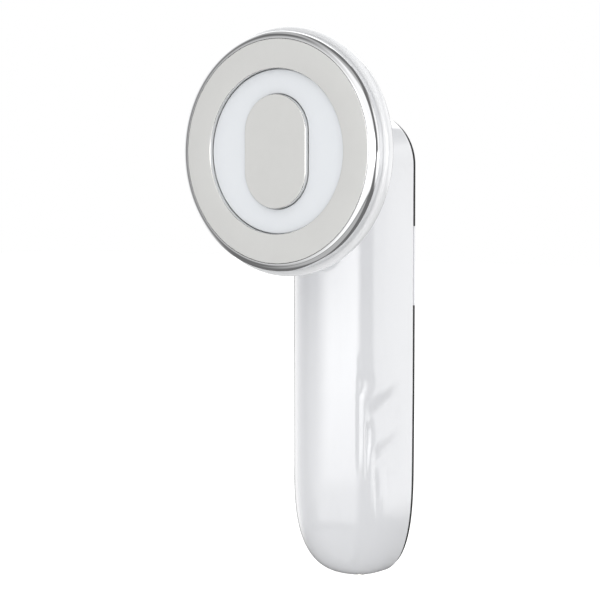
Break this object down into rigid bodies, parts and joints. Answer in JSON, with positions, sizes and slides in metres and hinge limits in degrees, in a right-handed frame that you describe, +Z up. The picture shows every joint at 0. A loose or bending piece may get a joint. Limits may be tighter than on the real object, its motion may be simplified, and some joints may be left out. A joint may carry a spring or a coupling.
{
  "type": "facial toning device",
  "caption": "Hand-held facial toning device: round head with metal ring and oval electrodes and a light ring, on a D-shaped white handle with black back panels and a button band.",
  "frame": {"origin": "on the grip axis of the handle, in the middle of the finger dents", "axes": "+Z up the handle to the head, -Y is the way the treatment face looks, +Y is the back with the buttons, +X to the right of someone facing the treatment face"},
  "size_m": [0.067, 0.0472, 0.1545],
  "materials": {
    "white_gloss": "glossy white moulded plastic",
    "black_gloss": "polished black plastic",
    "button_white": "satin white plastic",
    "bright_chrome": "mirror chrome plating",
    "satin_metal": "fine satin metal",
    "milky_diffuser": "milky translucent plastic, faintly bluish",
    "clear_lens": "clear frosted plastic",
    "soft_seal": "matte silicone",
    "inner_plastic": "natural moulded plastic",
    "screw_steel": "zinc plated",
    "contact_brass": "gold plated",
    "circuit_board": "green solder mask",
    "chip_black": "matte black",
    "lamp_body": "ivory",
    "flat_cable": "amber film",
    "cell_can": "shrink sleeve over a metal can",
    "tab_metal": "nickel plated",
    "motor_steel": "nickel plated",
    "magnet": "dark sintered",
    "winding_copper": "enamelled copper",
    "lead_copper": "insulated wire",
    "weight_brass": "machined"
  },
  "bodies": {
    "handle": {"front_shell": "white_gloss", "rear_frame": "white_gloss", "upper_panel": "black_gloss", "lower_panel": "black_gloss", "key_gasket": "soft_seal", "level_window": "clear_lens", "frame_screws": "screw_steel", "chrome_bezel": "bright_chrome", "ring_electrode": "satin_metal", "oval_electrode": "satin_metal", "light_ring": "milky_diffuser", "electrode_carrier": "inner_plastic", "carrier_screws": "screw_steel", "contact_pins": "contact_brass", "lamp_board": "circuit_board", "lamps": "lamp_body", "head_housing": "white_gloss", "neck_seal": "soft_seal", "neck_screws": "screw_steel", "head_flex": "flat_cable", "main_board": "circuit_board", "board_screws": "screw_steel", "control_chips": "chip_black", "level_lamps": "lamp_body", "switch_bodies": "chip_black", "battery": "cell_can", "battery_cradle": "inner_plastic", "battery_tabs": "tab_metal", "motor_can": "motor_steel", "motor_magnets": "magnet", "motor_bracket": "inner_plastic", "motor_leads": "lead_copper", "port_shell": "tab_metal", "port_tongue": "chip_black", "port_board": "circuit_board", "port_carrier": "inner_plastic", "charge_flex": "flat_cable"},
    "power_key": {"power_button": "button_white", "power_plunger": "chip_black"},
    "level_key": {"level_button": "button_white", "level_plunger": "chip_black"},
    "rotor": {"motor_armature": "winding_copper", "motor_shaft": "motor_steel", "eccentric_weight": "weight_brass"}
  },
  "joints": [
    {"name": "power_press", "type": "slide", "parent": "handle", "child": "power_key", "axis": [0, -1, 0], "range_m": [0, 0.0004], "stiffness_N_per_m": 1500, "springref_m": -0.0004},
    {"name": "level_press", "type": "slide", "parent": "handle", "child": "level_key", "axis": [0, -1, 0], "range_m": [0, 0.0004], "stiffness_N_per_m": 1500, "springref_m": -0.0004},
    {"name": "motor_spin", "type": "hinge", "parent": "handle", "child": "rotor", "pos_m": [0, -0.003, 0.042], "axis": [0, 0, 1], "continuous": true}
  ]
}
